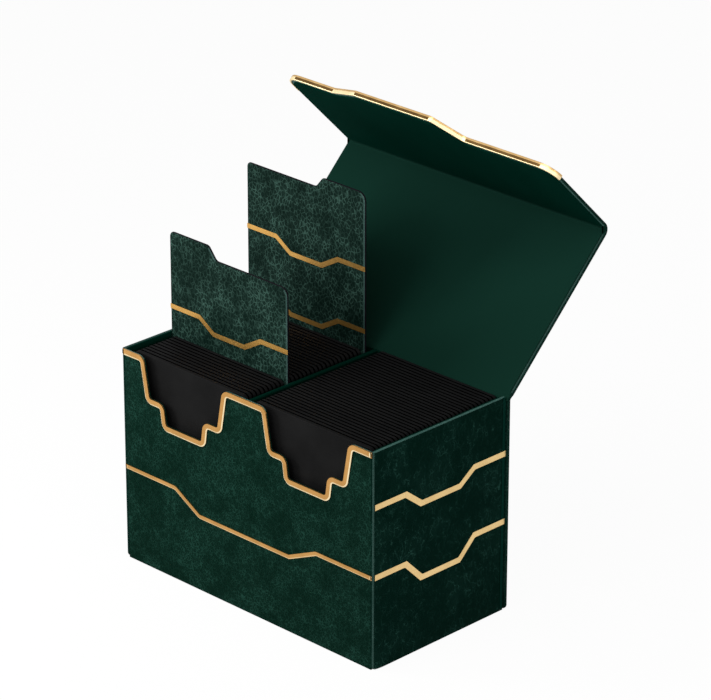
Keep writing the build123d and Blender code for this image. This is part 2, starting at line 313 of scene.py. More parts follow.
def cover_leather(name, grain_mm, veins, dark, light, turn=(0, 0, 0)):
    """Dark green leatherette: dark pebbles between thin paler creases."""
    finish = Finish(name)
    place = finish.place()
    stray = finish.noise(place, grain_mm * 2.2, detail=1.0, out="Color")
    grain_place = finish.turned(finish.shifted(place, stray, grain_mm * 0.6), turn, (1.0, 1.0, 0.8))
    pebbles = finish.cells(grain_place, grain_mm)
    creases = pebbles.ramp(0.02, 0.13, 1.0, 0.0)
    small = finish.cells(grain_place, grain_mm * 0.55).ramp(0.0, 0.10, 1.0, 0.0)
    fine = finish.noise(grain_place, grain_mm * 0.6, rough=0.6)
    patches = finish.noise(place, 11.0)
    wear = patches.ramp(0.34, 0.62, 0.35, 1.0)
    breaks = finish.noise(grain_place, grain_mm * 1.5, detail=2.0).ramp(0.36, 0.56, 0.25, 1.0)
    lines = (creases * 0.80 + small * 0.18) * breaks * wear * veins
    mottle = lines + (fine - 0.42) * 0.25 + patches.ramp(0.3, 0.75) * 0.12
    height = pebbles.ramp(0.0, 0.25) * 0.8 + fine * 0.3
    return finish.surface(
        Base_Color=finish.between(mottle, dark, light),
        Roughness=fine * 0.16 + 0.45,
        Specular_IOR_Level=0.012,
        Normal=finish.bump(height, 0.06, 0.45),
    )


def streaked_leather(name, dark, light):
    """The same leatherette where it is stretched: thin pale wrinkles in loose tufts."""
    finish = Finish(name)
    place = finish.place()
    stray = finish.noise(place, 5.0, detail=2.0, out="Color")
    grain_place = finish.turned(finish.shifted(place, stray, 5.0), (35, 0, 0), (1.0, 1.0, 0.6))
    wrinkles = finish.cells(grain_place, 2.2).ramp(0.0, 0.045, 1.0, 0.0)
    hairs = finish.cells(grain_place, 1.1).ramp(0.0, 0.060, 1.0, 0.0)
    gaps = finish.noise(grain_place, 2.4, detail=2.0).ramp(0.44, 0.60)
    clouds = finish.noise(place, 14.0)
    amount = clouds.ramp(0.34, 0.66, 0.30, 1.0)
    grain = finish.noise(grain_place, 0.8, rough=0.6)
    mottle = (wrinkles * 0.75 + hairs * 0.40) * gaps * amount + clouds.ramp(0.35, 0.75) * 0.10
    height = wrinkles * 0.5 + hairs * 0.4 + grain * 0.4
    return finish.surface(
        Base_Color=finish.between(mottle + (grain - 0.5) * 0.22, dark, light),
        Roughness=0.56 - wrinkles * 0.08,
        Specular_IOR_Level=0.008,
        Normal=finish.bump(height, 0.04, 0.3),
    )


def velour_lining(name, colour, deep, painted_light_rise=None):
    """Short-pile lining, cloudy, or painted paler upwards between two heights against the flap's
    shade.
    """
    finish = Finish(name)
    place = finish.place()
    pile = finish.noise(place, 0.35, detail=2.0)
    brushed = finish.noise(finish.turned(place, (0, 0, 20), (1.0, 0.5, 0.5)), 16.0)
    clouds = brushed.ramp(0.3, 0.75)
    if painted_light_rise:
        # Painted light: paler towards the top, to lift the shade that the flap casts
        clouds = clouds * 0.15 + finish.along(place, 2).ramp(*painted_light_rise) * 0.85
    shade = clouds * 0.8 + pile * 0.2
    return finish.surface(
        Base_Color=finish.between(shade, deep, colour),
        Roughness=pile * 0.1 + 0.82,
        Specular_IOR_Level=0.004,
        Normal=finish.bump(pile, 0.02, 0.3),
    )


def partition_cover(name, wall, edge):
    """Lining on the centre partition, painted pale along its top edge as a highlight."""
    finish = Finish(name)
    place = finish.place()
    pile = finish.noise(place, 0.5)
    # Painted highlight: paler along the top edge, as lit from above
    top_edge_highlight = (finish.along(place, 2) + pile * 0.0003).ramp(0.0952, 0.0958)
    return finish.surface(
        Base_Color=finish.between(top_edge_highlight, wall, edge),
        Roughness=pile * 0.15 + 0.75,
        Specular_IOR_Level=0.004,
        Normal=finish.bump(pile, 0.02, 0.3),
    )


def gold_plate(name, colour, deep, rough, line_mm=0.5):
    """Satin gold plating with fine brushed lines and a few dull spots."""
    finish = Finish(name)
    place = finish.place()
    brushed = finish.noise(finish.turned(place, (0, 0, 0), (0.12, 1.0, 1.0)), line_mm)
    dull = finish.noise(place, 6.0)
    shade = brushed * 0.4 + dull.ramp(0.35, 0.7) * 0.6
    return finish.surface(
        Base_Color=finish.between(shade, deep, colour),
        Metallic=1.0,
        Roughness=brushed * 0.14 + dull * 0.1 + rough,
        Normal=finish.bump(brushed, 0.002, 0.05),
    )


def gold_foil(name, colour, deep):
    """Hot-stamped foil that shows a trace of the grain beneath it."""
    finish = Finish(name)
    place = finish.place()
    grain = finish.cells(place, 0.9).ramp(0.0, 0.3)
    clouds = finish.noise(place, 9.0)
    return finish.surface(
        Base_Color=finish.between(clouds.ramp(0.3, 0.7) * 0.7 + grain * 0.3, deep, colour),
        Metallic=0.85,
        Roughness=grain * 0.08 + 0.34,
        Normal=finish.bump(grain, 0.012, 0.3),
    )


def card_sleeve(name, deep, colour):
    """Matt black sleeve film with fine level scuffs."""
    finish = Finish(name)
    place = finish.place()
    scuffs = finish.noise(finish.turned(place, (0, 0, 0), (0.05, 0.4, 1.0)), 0.7)
    handled = finish.noise(place, 14.0)
    shade = scuffs * 0.3 + handled.ramp(0.3, 0.7) * 0.7
    return finish.surface(
        Base_Color=finish.between(shade, deep, colour),
        Roughness=scuffs * 0.12 + 0.5,
        Specular_IOR_Level=0.015,
        Normal=finish.bump(scuffs, 0.01, 0.2),
    )


def edge_paint_and_shade(name, colour, deep, shine):
    """Dark paint on cut edges, thin in places; also used as painted shade in gaps and seams."""
    finish = Finish(name)
    place = finish.place()
    streaks = finish.noise(place, 1.6, detail=4.0, rough=0.65)
    return finish.surface(
        Base_Color=finish.between(streaks.ramp(0.3, 0.7), deep, colour),
        Roughness=streaks * 0.2 + 0.45,
        Specular_IOR_Level=shine,
        Normal=finish.bump(streaks, 0.03, 0.4),
    )


def plain_steel(name, colour, rough):
    """Steel with rolling lines, hidden in the case."""
    finish = Finish(name)
    place = finish.place()
    rolled = finish.noise(finish.turned(place, (0, 0, 0), (0.1, 1.0, 1.0)), 0.6)
    darker = tuple(channel * 0.7 for channel in colour)
    return finish.surface(
        Base_Color=finish.between(rolled, darker, colour),
        Metallic=1.0,
        Roughness=rolled * 0.2 + rough,
    )


def paper_cover(name, colour, deep):
    """Dark paper over the loose tray floor, with short fibres."""
    finish = Finish(name)
    place = finish.place()
    fibres = finish.noise(finish.turned(place, (0, 0, 30), (0.2, 1.0, 1.0)), 0.5)
    return finish.surface(
        Base_Color=finish.between(fibres, deep, colour),
        Roughness=fibres * 0.1 + 0.8,
        Specular_IOR_Level=0.15,
        Normal=finish.bump(fibres, 0.02, 0.3),
    )


front_leather = cover_leather(
    "front_leather", 1.15, 1.0, (0.0001, 0.0086, 0.0047), (0.0085, 0.0385, 0.0270)
)
side_leather = streaked_leather(
    "side_leather", (0.0002, 0.0094, 0.0060), (0.0170, 0.064, 0.049)
)
# Painted highlight: a paler strip at the rear of each side, where the back cover's turned edge
# catches the light
highlight_strip_leather = streaked_leather(
    "highlight_strip_leather", (0.0010, 0.0210, 0.0145), (0.006, 0.036, 0.027)
)
divider_leather = cover_leather(
    "divider_leather", 1.7, 1.15, (0.0018, 0.0082, 0.0058), (0.031, 0.071, 0.056), turn=(0, 25, 0)
)
# Painted highlight: paler leather for the dividers' right borders, which face the light
divider_highlight_rim = cover_leather(
    "divider_highlight_rim", 0.9, 0.7, (0.024, 0.052, 0.046), (0.064, 0.118, 0.104)
)
lid_leather = cover_leather(
    "lid_leather", 1.15, 0.8, (0.0008, 0.0130, 0.0084), (0.0150, 0.046, 0.036)
)
# Painted highlight: pale leather for edges and tops that face the light
edge_highlight_leather = cover_leather(
    "edge_highlight_leather", 0.7, 0.6, (0.034, 0.088, 0.074), (0.090, 0.185, 0.160)
)
# Painted highlight, dimmer: pale leather for rounded corners and turned margins
soft_highlight_leather = cover_leather(
    "soft_highlight_leather", 0.7, 0.6, (0.018, 0.046, 0.038), (0.055, 0.110, 0.095)
)
# Painted light: the lid's lining grows paler upwards, against the shade under the flap
lid_velour = velour_lining(
    "lid_velour", (0.0052, 0.0262, 0.0180), (0.0046, 0.0236, 0.0160), (0.100, 0.142)
)
# Painted shade: a darker copy of the lid's lining for the flap, which faces down
shaded_flap_velour = velour_lining(
    "shaded_flap_velour", (0.0010, 0.0200, 0.0130), (0.0005, 0.0170, 0.0108)
)
case_velour = velour_lining(
    "case_velour", (0.0006, 0.0240, 0.0152), (0.0002, 0.0160, 0.0100)
)
partition_velour = partition_cover(
    "partition_velour", (0.0003, 0.0150, 0.0095), (0.0050, 0.0760, 0.0510)
)
trim_gold = gold_plate("trim_gold", (0.60, 0.325, 0.102), (0.48, 0.25, 0.070), 0.26)
# Paler golds painted on slopes and edges as highlights
trim_glint = gold_plate(
    "trim_glint", (0.98, 0.84, 0.55), (0.90, 0.70, 0.40), 0.28, line_mm=3.0
)
line_glint = gold_plate(
    "line_glint", (0.86, 0.62, 0.32), (0.74, 0.50, 0.24), 0.30, line_mm=3.0
)
# Paler gold for the channel's painted highlights, dark gold for its painted shade
channel_glint = gold_plate(
    "channel_glint", (0.92, 0.78, 0.50), (0.86, 0.68, 0.38), 0.42, line_mm=3.0
)
channel_gold = gold_plate("channel_gold", (0.76, 0.52, 0.24), (0.62, 0.38, 0.14), 0.22)
channel_shade = gold_plate("channel_shade", (0.22, 0.125, 0.040), (0.10, 0.054, 0.017), 0.26)
line_foil = gold_foil("line_foil", (0.88, 0.63, 0.29), (0.76, 0.52, 0.22))
divider_foil = gold_foil("divider_foil", (0.62, 0.35, 0.090), (0.50, 0.27, 0.062))
black_sleeve = card_sleeve(
    "black_sleeve", (0.0060, 0.0060, 0.0061), (0.0098, 0.0098, 0.0099)
)
# Painted light: a separate copy of the sleeve film for the tops, toned for the light that falls on
# them
lit_sleeve_top = card_sleeve(
    "lit_sleeve_top", (0.0072, 0.0072, 0.0074), (0.0100, 0.0100, 0.0102)
)
# Painted shade: near black for the grooves between sleeves and every sleeve face behind a deck's
# first
sleeve_gap_shade = edge_paint_and_shade(
    "sleeve_gap_shade", (0.0004, 0.0004, 0.0004), (0.0001, 0.0001, 0.0001), 0.0
)
seam_shadow = edge_paint_and_shade(
    "seam_shadow", (0.0010, 0.0075, 0.0050), (0.0004, 0.0040, 0.0026), 0.0
)
# Dark edge paint that also reaches onto the dividers' bevels as painted shade along their outline
divider_dark_edge_and_shade = edge_paint_and_shade(
    "divider_dark_edge_and_shade", (0.0075, 0.0055, 0.0085), (0.0030, 0.0022, 0.0036), 0.02
)
keeper_steel = plain_steel("keeper_steel", (0.55, 0.55, 0.56), 0.3)
magnet_nickel = plain_steel("magnet_nickel", (0.62, 0.60, 0.56), 0.18)
floor_paper = paper_cover("floor_paper", (0.004, 0.018, 0.013), (0.001, 0.010, 0.007))


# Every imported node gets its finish, also those that a piece from the bench stands for
for name, material in {
    "front_lining": case_velour,
    "left_side_lining": case_velour,
    "right_side_lining": case_velour,
    "back_lining": case_velour,
    "centre_partition": partition_velour,
    "base_panel": front_leather,
    "tray_floor": floor_paper,
    "front_keepers": keeper_steel,
    "flap_magnets": magnet_nickel,
    "left_upper_line": line_foil,
    "left_lower_line": line_foil,
    "right_upper_line": line_foil,
    "right_lower_line": line_foil,
    "divider_front_line": divider_foil,
    "divider_rear_lines": divider_foil,
    "front_panel": front_leather,
    "left_side_panel": side_leather,
    "right_side_panel": side_leather,
    "back_panel": lid_leather,
    "front_rim_trim": trim_gold,
    "front_line": trim_gold,
    "lid_crease_strip": lid_leather,
    "lid_panel": lid_leather,
    "lid_lining": lid_velour,
    "flap_fold": lid_velour,
    "flap_panel": lid_leather,
    "flap_lining": shaded_flap_velour,
    "flap_edge_trim": trim_gold,
    "divider_front": divider_leather,
    "divider_rear": divider_leather,
    "cards_left_front": black_sleeve,
    "cards_left_rear": black_sleeve,
    "cards_right_front": black_sleeve,
    "cards_right_middle": black_sleeve,
    "cards_right_rear": black_sleeve,
}.items():
    slots = nodes[name].data.materials
    slots.clear()
    slots.append(material)


# ---------------------------------------------------------------------------------------
# Bench tools: every piece is drawn flat, given its thickness, rounded and put in place
# ---------------------------------------------------------------------------------------

# Where a drawing goes: upright with its thickness towards the front, upright with its
# thickness across the box, on the lid and on the flap, both with their inner side up.
UPRIGHT = Matrix.Rotation(math.radians(90), 4, "X")
SIDEWAYS = Matrix(((0, 0, 1, 0), (1, 0, 0, 0), (0, 1, 0, 0), (0, 0, 0, 1)))
LID = (
    Matrix.Translation((0, LID_CREASE_Y * MM, LID_CREASE_Z * MM))
    @ Matrix.Rotation(math.radians(LID_LEAN), 4, "X")
    @ Matrix.Translation((0, 0, -WALL / 2 * MM))
)
FLAP = LID @ Matrix.Translation((0, LID_REACH * MM, 0)) @ UPRIGHT

HANDS = {-1: "left", 1: "right"}


def pick(kind, wanted):
    """In edit mode, selects the vertices, edges or faces that answer to a description."""
    bpy.ops.mesh.select_mode(type=kind)
    bpy.ops.mesh.select_all(action="DESELECT")
    mesh = bpy.context.edit_object.data
    shape = bmesh.from_edit_mesh(mesh)
    parts = {"VERT": shape.verts, "EDGE": shape.edges, "FACE": shape.faces}[kind]
    for part in parts:
        part.select_set(wanted(part))
    bmesh.update_edit_mesh(mesh)


def lies_on(axis, *levels):
    """An edge or face whose corners all lie at one of the levels along an axis, in mm."""

    def wanted(part):
        along = [vert.co[axis] / MM for vert in part.verts]
        return any(all(abs(value - level) < SLACK for value in along) for level in levels)

    return wanted


def draw(name, corners, steps=6):
    """A flat face led round its corners from one point, with each corner then rounded.

    A corner is its two coordinates and a radius, in mm. The piece is left in edit mode.
    """
    bpy.ops.object.select_all(action="DESELECT")
    bpy.ops.mesh.primitive_plane_add(size=MM, location=(0, 0, 0))
    piece = bpy.context.object
    piece.name = name
    piece.data.name = name
    bpy.ops.object.mode_set(mode="EDIT")
    bpy.ops.mesh.select_mode(type="VERT")
    bpy.ops.mesh.select_all(action="SELECT")
    bpy.ops.mesh.merge(type="CENTER")
    bpy.ops.transform.translate(value=(corners[0][0] * MM, corners[0][1] * MM, 0))
    for start, end in zip(corners, corners[1:]):
        step = ((end[0] - start[0]) * MM, (end[1] - start[1]) * MM, 0)
        bpy.ops.mesh.extrude_region_move(TRANSFORM_OT_translate={"value": step})
    bpy.ops.mesh.select_all(action="SELECT")
    bpy.ops.mesh.edge_face_add()
    cuts = {}
    neighbours = zip(corners[-1:] + corners[:-1], corners, corners[1:] + corners[:1])
    for before, corner, after in neighbours:
        if corner[2] > 0:
            arriving = Vector(corner[:2]) - Vector(before[:2])
            leaving = Vector(after[:2]) - Vector(corner[:2])
            cut = corner[2] * math.tan(arriving.angle(leaving) / 2)
            cuts.setdefault(round(cut, 4), []).append(corner)
    for cut, same in cuts.items():
        points = [Vector((x, y, 0)) for x, y, _ in same]
        pick("VERT", lambda vert: any((vert.co / MM - point).length < SLACK for point in points))
        bpy.ops.mesh.bevel(
            offset=cut * MM, segments=steps, affect="VERTICES", offset_type="OFFSET",
            clamp_overlap=False,
        )
    return piece


def thicken(low, high):
    """Gives the drawn face its thickness, from low to high in mm."""
    bpy.ops.mesh.select_all(action="SELECT")
    bpy.ops.transform.translate(value=(0, 0, low * MM))
    height = (0, 0, (high - low) * MM)
    bpy.ops.mesh.extrude_region_move(TRANSFORM_OT_translate={"value": height})
    bpy.ops.mesh.select_all(action="SELECT")
    bpy.ops.mesh.normals_make_consistent(inside=False)


def round_off(wanted, radius, steps=3):
    """Rounds the edges that answer to a description, in mm; a single step chamfers them."""
    pick("EDGE", wanted)
    bpy.ops.mesh.bevel(
        offset=radius * MM, segments=steps, affect="EDGES", offset_type="OFFSET",
        clamp_overlap=False,
    )


def everywhere(point):
    return True


def slope_border(level, width, drop, wanted=everywhere):
    """Insets the face at a level and lets its outline fall away, all round or where wanted."""
    pick("FACE", lies_on(2, level))
    bpy.ops.mesh.inset(thickness=width * MM, depth=0)
    shape = bmesh.from_edit_mesh(bpy.context.edit_object.data)
    outline = {
        vert.index
        for vert in shape.verts
        if abs(vert.co.z / MM - level) < SLACK
        and not any(face.select for face in vert.link_faces)
        and wanted(vert.co / MM)
    }
    pick("VERT", lambda vert: vert.index in outline)
    bpy.ops.transform.translate(value=(0, 0, drop * MM))


def below(line):
    """Points that lie below a line, in mm."""

    def wanted(point):
        for start, end in zip(line, line[1:]):
            if start[0] <= point[0] <= end[0]:
                share = (point[0] - start[0]) / max(end[0] - start[0], 0.001)
                return point[1] < start[1] + (end[1] - start[1]) * share
        return False

    return wanted


def put(piece, place, material, body, slot, *stands_for, angle=35):
    """Leaves edit mode, puts the piece in its place and ties it to its body, if it has one."""
    bpy.ops.object.mode_set(mode="OBJECT")
    piece.matrix_world = place
    bpy.ops.object.transform_apply(location=True, rotation=True, scale=True)
    bpy.ops.object.shade_smooth_by_angle(angle=math.radians(angle))
    weighted = piece.modifiers.new("even_faces", "WEIGHTED_NORMAL")
    weighted.mode = "FACE_AREA"
    weighted.weight = 80
    weighted.keep_sharp = True
    bpy.ops.object.modifier_apply(modifier=weighted.name)
    piece.data.materials.append(material)
    if body:
        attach(piece, body)
    if stands_for:
        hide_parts(*stands_for)
    bpy.ops.object.select_all(action="DESELECT")


def paint_faces(piece, material, wanted):
    """Gives the faces that answer to a description another finish."""
    piece.data.materials.append(material)
    number = len(piece.data.materials) - 1
    for face in piece.data.polygons:
        if wanted(face):
            face.material_index = number


def sink_discs(piece, height, low, high, place):
    """Cuts both round pockets at a height, between two levels of the drawing."""
    for x in (-POCKET_X, POCKET_X):
        bpy.ops.mesh.primitive_cylinder_add(
            vertices=40, radius=POCKET_RADIUS * MM, depth=(high - low) * MM,
            location=(x * MM, height * MM, (low + high) / 2 * MM),
        )
        cutter = bpy.context.object
        cutter.matrix_world = place @ cutter.matrix_world
        hole = piece.modifiers.new("pocket", "BOOLEAN")
        hole.operation = "DIFFERENCE"
        hole.solver = "EXACT"
        hole.object = cutter
        bpy.ops.object.select_all(action="DESELECT")
        piece.select_set(True)
        bpy.context.view_layer.objects.active = piece
        bpy.ops.object.modifier_apply(modifier=hole.name)
        bpy.data.objects.remove(cutter)


def zigzag(start, bends, end, levels):
    """Points of a line that is level at three places, joined by two slants."""
    first, middle, last = levels
    low = [(bends[1], middle), (bends[2], middle)]
    return [(start, first), (bends[0], first), *low, (bends[3], last), (end, last)]


def band(points, above, below, bend):
    """Corners of a band along a line, which reaches above and below it and bends evenly."""
    path = [Vector(point) for point in points]
    runs = [(end - start).normalized() for start, end in zip(path, path[1:])]
    sides = [Vector((-run.y, run.x)) for run in runs]
    upper = []
    lower = []
    for number, point in enumerate(path):
        before = sides[max(number - 1, 0)]
        after = sides[min(number, len(sides) - 1)]
        mitre = (before + after) / (1 + before.dot(after))
        turn = before.cross(after)
        level = 0 if abs(turn) < 0.001 else math.copysign(1, turn)
        for edge, reach in ((upper, above), (lower, -below)):
            radius = bend - reach * level if level else 0
            edge.append((*(point + mitre * reach), max(radius, 0)))
    return upper + lower[::-1]


def both_notches(steps):
    """The stepped corners of both thumb notches along the rim, from left to right."""
    corners = []
    for centre in (-ROW_CENTRE, ROW_CENTRE):
        corners += [(centre - x, z, radius) for x, z, radius in steps]
        corners += [(centre + x, z, radius) for x, z, radius in reversed(steps)]
    return corners


# ---------------------------------------------------------------------------------------
# Case
# ---------------------------------------------------------------------------------------


def front_wall():
    """The notched front: its rim skived thin from behind, its leather turned over the edge."""
    edge = BOARD_HALF - 0.06
    inner, outer = -FRONT - BOARD, -FRONT
    rim_line = [(-edge, RIM, 0), *both_notches(NOTCH), (edge, RIM, 0)]
    piece = draw("front_wall", [*rim_line, (edge, 0, 0), (-edge, 0, 0)], steps=8)
    thicken(inner, outer)

    def rim(level):
        def wanted(part):
            low = min(vert.co.y for vert in part.verts) / MM
            reach = min(abs(vert.co.x) for vert in part.verts) / MM
            return lies_on(2, level)(part) and low > RIM_ZONE and reach < edge - SLACK

        return wanted

    def outer_edges(part):
        return lies_on(2, outer)(part) and (lies_on(0, -edge, edge)(part) or lies_on(1, 0)(part))

    round_off(rim(inner), 1.1, steps=1)
    round_off(rim(outer), 0.15, steps=2)
    round_off(outer_edges, 0.25)
    put(piece, UPRIGHT, front_leather, "case", "wrapped_board", "front_panel")
    # Painted highlight: the rim's top faces in pale leather, as lit from above
    rim_top = (RIM - 1.4) * MM
    paint_faces(piece, edge_highlight_leather, lambda face: face.normal.z > 0.5 and face.center.z > rim_top)
    sink_discs(piece, KEEPER_Z, inner - 0.5, inner + KEEPER_DEPTH, UPRIGHT)


def front_velour():
    """The front's lining, set back from the skived rim."""
    half = BOARD_HALF
    inner, outer = -FRONT - WALL, -FRONT - BOARD
    rim_line = [(-half, VELOUR_RIM, 0), *both_notches(VELOUR_NOTCH), (half, VELOUR_RIM, 0)]
    piece = draw("front_velour", [*rim_line, (half, FLOOR, 0), (-half, FLOOR, 0)], steps=8)
    thicken(inner, outer)

    def rim(edge):
        return lies_on(2, inner)(edge) and min(vert.co.y for vert in edge.verts) > RIM_ZONE * MM

    round_off(rim, 0.3)
    put(piece, UPRIGHT, case_velour, "case", "lining", "front_lining")


def side_wall(side):
    """A side board: rounded front edge and foot, relieved at the top for the lid's crease."""
    relief, rear = ROW_BACK - 0.2, BACK_BOARD - 0.08
    corners = [
        (FRONT, 0, 2.0), (FRONT, RIM, 0), (relief, RIM, 0), (relief, CREASE, 0),
        (rear, CREASE, 0), (rear, 0, 0),
    ]
    piece = draw(HANDS[side] + "_side_wall", corners)
    inner, outer = side * BOARD_HALF, side * HALF
    thicken(min(inner, outer), max(inner, outer))

    def front_edge(edge):
        return lies_on(2, outer)(edge) and all(vert.co.x / MM < FRONT + 2.1 for vert in edge.verts)

    def top_edges(edge):
        return lies_on(1, RIM)(edge) and lies_on(2, outer, inner)(edge)

    def rear_edge(edge):
        return lies_on(2, outer)(edge) and lies_on(0, rear)(edge)

    round_off(front_edge, 0.7, steps=4)
    round_off(top_edges, 0.35)
    round_off(rear_edge, 0.5)
    seam_start, seam_end = 35.0, 35.35
    for level in (seam_start, seam_end):
        bpy.ops.mesh.select_all(action="SELECT")
        bpy.ops.mesh.bisect(plane_co=(level * MM, 0, 0), plane_no=(1, 0, 0))
    put(piece, SIDEWAYS, side_leather, "case", "wrapped_board", HANDS[side] + "_side_panel")
    # Painted highlight on the top faces, brighter on the right side than on the left
    lit_top_leather = edge_highlight_leather if side > 0 else soft_highlight_leather
    paint_faces(piece, lit_top_leather, lambda face: face.normal.z > 0.3)
    # Painted highlight on the side's rounded front edge
    paint_faces(
        piece, soft_highlight_leather, lambda face: face.normal.y < -0.2 and abs(face.normal.x) > 0.05
    )
    # Painted shade in the seam, then a paler strip as a painted highlight of the cover's turned
    # edge
    for material, start, end in (
        (seam_shadow, seam_start, seam_end), (highlight_strip_leather, seam_end, BACK_BOARD),
    ):
        paint_faces(
            piece,
            material,
            lambda face: face.normal.x * side > 0.5 and start < face.center.y / MM < end,
        )


def side_velour(side):
    """A side's lining, relieved at its rear corner for the leather that bends there."""
    corners = [
        (-ROW_BACK, FLOOR, 0), (-ROW_BACK, RIM, 0), (ROW_BACK - 2.4, RIM, 0),
        (ROW_BACK, CREASE - 1.4, 0), (ROW_BACK, FLOOR, 0),
    ]
    piece = draw(HANDS[side] + "_side_velour", corners)
    inner, outer = side * (BOARD_HALF - LINING), side * BOARD_HALF
    thicken(min(inner, outer), max(inner, outer))
    round_off(lambda edge: lies_on(1, RIM)(edge) and lies_on(2, inner)(edge), 0.3)
    put(piece, SIDEWAYS, case_velour, "case", "lining", HANDS[side] + "_side_lining")


def back_cover():
    """The back board, standing out past the sides, with soft wrapped edges."""
    half = COVER_HALF
    corners = [(-half, CREASE, 0), (half, CREASE, 0), (half, 0, 2.0), (-half, 0, 2.0)]
    piece = draw("back_cover", corners)
    thicken(-BACK, -BACK_BOARD)

    def free_edge(edge):
        return lies_on(2, -BACK, -BACK_BOARD)(edge) and not lies_on(1, CREASE)(edge)

    round_off(free_edge, 0.55)
    put(piece, UPRIGHT, lid_leather, "case", "wrapped_board", "back_panel")


def raised_band(name, corners, stand, line, *stands_for):
    """A flat gold band on the front, with its lower slope painted paler as a highlight."""
    trim = stand == TRIM_STAND
    piece = draw(name, corners, steps=8)
    thicken(-FRONT - BEDDED, -FRONT + stand)
    under = below(line)
    width, drop = (0.55, -0.22) if trim else (0.4, -0.12)
    slope_border(-FRONT + stand, width, drop, under)
    put(piece, UPRIGHT, trim_gold, "case", "gold_trim", *stands_for, angle=10)

    # Painted highlight: the lower slope in paler gold
    def lower_slope(face):
        middle = face.center / MM
        return 0.5 < -face.normal.y < 0.999 and under((middle.x, middle.z))

    paint_faces(piece, trim_glint if trim else line_glint, lower_slope)


def front_trims():
    """The band along the rim and notches, the line below it, and their short ends."""
    seam = BOARD_HALF - 0.12
    upper = [(-seam, RIM, 0), *both_notches(NOTCH), (seam, RIM, 0)]
    path = [corner[:2] for corner in upper]
    bent = band(path, 0, TRIM_WIDTH, TRIM_WIDTH)[len(upper):]
    turned_over = {CONVEX: CONCAVE, CONCAVE: CONVEX, 0: 0}
    lower = [
        (point[0], point[1], turned_over[corner[2]])
        for point, corner in zip(bent, reversed(upper))
    ]
    middle = band(path, 0, TRIM_WIDTH / 2, TRIM_WIDTH)[len(upper):]
    middle = [corner[:2] for corner in reversed(middle)]
    raised_band("rim_band", upper + lower, TRIM_STAND, middle, "front_rim_trim")
    line = zigzag(-seam, LINE_BENDS, seam, LINE_LEVELS)
    corners = band(line, LINE_HALF, LINE_HALF, LINE_BEND_RADIUS)
    raised_band("front_band", corners, LINE_STAND, line, "front_line")
    near, far = BOARD_HALF + 0.12, HALF - 0.8
    for side, hand in HANDS.items():
        level = LINE_LEVELS[0] if side < 0 else LINE_LEVELS[-1]
        for part, top, depth, stand in (
            ("rim_end", RIM, TRIM_WIDTH, TRIM_STAND),
            ("line_end", level + LINE_HALF, 2 * LINE_HALF, LINE_STAND),
        ):
            start, end = sorted((side * near, side * far))
            foot = top - depth
            corners = [(start, top, 0), (end, top, 0), (end, foot, 0), (start, foot, 0)]
            middle = [(start, top - depth / 2), (end, top - depth / 2)]
            raised_band(hand + "_" + part, corners, stand, middle)


# ---------------------------------------------------------------------------------------
# Lid and flap
# ---------------------------------------------------------------------------------------


def lid_board():
    """The lid's board in its leather, from the crease to the soft fold."""
    half = COVER_HALF
    corners = [(-half, 0, 0), (half, 0, 0), (half, FOLD_START, 0), (-half, FOLD_START, 0)]
    piece = draw("lid_board", corners)
    thicken(0, BOARD)
    round_off(lambda edge: lies_on(0, half, -half)(edge) and lies_on(2, 0, BOARD)(edge), 0.55)
    put(piece, LID, lid_leather, "lid", "wrapped_board", "lid_panel")
    # Painted highlight: the lid board's turned margin beside the lining in pale leather
    inner_side = LID.to_3x3().col[2]
    paint_faces(piece, soft_highlight_leather, lambda face: face.normal.dot(inner_side) > 0.9)


def lid_velour_sheet():
    """The lid's lining, with a soft edge that leaves the turned leather showing."""
    half = LINING_HALF
    corners = [(-half, 0, 0), (half, 0, 0), (half, FOLD_START, 0), (-half, FOLD_START, 0)]
    piece = draw("lid_velour_sheet", corners)
    thicken(BOARD - BEDDED, WALL)
    round_off(lambda edge: lies_on(0, half, -half)(edge) and lies_on(2, WALL)(edge), 0.3)
    put(piece, LID, lid_velour, "lid", "lining", "lid_lining")


def fold_piece(name, inner, outer, half, material, slot, *stands_for):
    """One layer of the soft fold between lid and flap, bent round the fold's axis."""
    lining = material is lid_velour
    hollow = 0.9 if lining else 0
    corners = [
        (FOLD_START, outer, 0), (LID_REACH - outer, outer, FOLD - outer),
        (LID_REACH - outer, FOLD_END, 0), (LID_REACH - inner, FOLD_END, 0),
        (LID_REACH - inner, inner, FOLD - inner - hollow), (FOLD_START, inner, 0),
    ]
    piece = draw(name, corners, steps=12)
    thicken(-half, half)

    def side_edge(edge):
        crosswise = lies_on(0, FOLD_START)(edge) or lies_on(1, FOLD_END)(edge)
        return lies_on(2, -half, half)(edge) and not crosswise

    round_off(side_edge, 0.25 if lining else 0.55)
    put(piece, LID @ SIDEWAYS, material, None, slot, *stands_for)
    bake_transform(piece)


def flap_corners(margin, drop, start, corner):
    """The flap's outline: sides less a margin, stepped edge less a drop."""
    half = COVER_HALF - margin
    edge = zigzag(-half, FLAP_BENDS, half, [length - drop for length in FLAP_LENGTHS])
    radii = [corner, *[FLAP_BEND_RADIUS] * 4, corner]
    stepped = [(x, y, radius) for (x, y), radius in zip(edge, radii)]
    return [(-half, start, 0), *stepped, (half, start, 0)]


